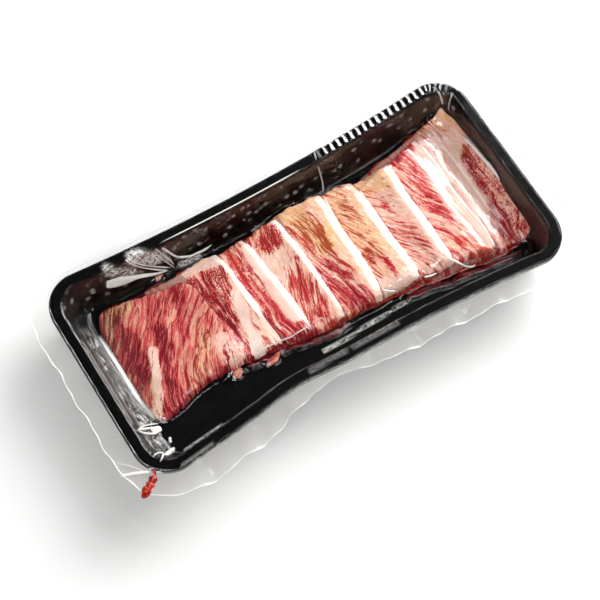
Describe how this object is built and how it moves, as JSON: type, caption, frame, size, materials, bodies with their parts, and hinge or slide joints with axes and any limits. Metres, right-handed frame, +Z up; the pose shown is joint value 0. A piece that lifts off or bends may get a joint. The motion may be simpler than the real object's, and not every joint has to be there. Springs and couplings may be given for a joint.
{
  "type": "skin-packed sliced raw beef",
  "caption": "Black plastic tray with shingled slices of raw, finely marbled striploin under a clear vacuum skin film with a loose border.",
  "frame": {"origin": "centre of the tray's flat base", "axes": "+X along the tray from the slice on top of the pile to the lowest slice, +Y to the far long side, +Z up"},
  "size_m": [0.2687, 0.1355, 0.0247],
  "materials": {
    "tray": "thin black formed plastic, smooth and glossy",
    "meat_pale": "raw beef, pale cream-pink fat finely threaded with red lean, wet under the film",
    "meat_rosy": "raw beef, pink-red lean with dense fine cream marbling, wet under the film",
    "meat_red": "raw beef, deeper red lean with fine pale marbling, wet under the film",
    "film": "thin clear vacuum skin film, glossy and softly wrinkled"
  },
  "bodies": {
    "root": {"tray": "tray", "slice_1": "meat_pale", "slice_2": "meat_rosy", "slice_3": "meat_rosy", "slice_4": "meat_pale", "slice_5": "meat_rosy", "slice_6": "meat_pale", "slice_7": "meat_rosy", "slice_8": "meat_red", "slice_9": "meat_red", "film_skin": "film", "film_skirt": "film"}
  },
  "joints": []
}
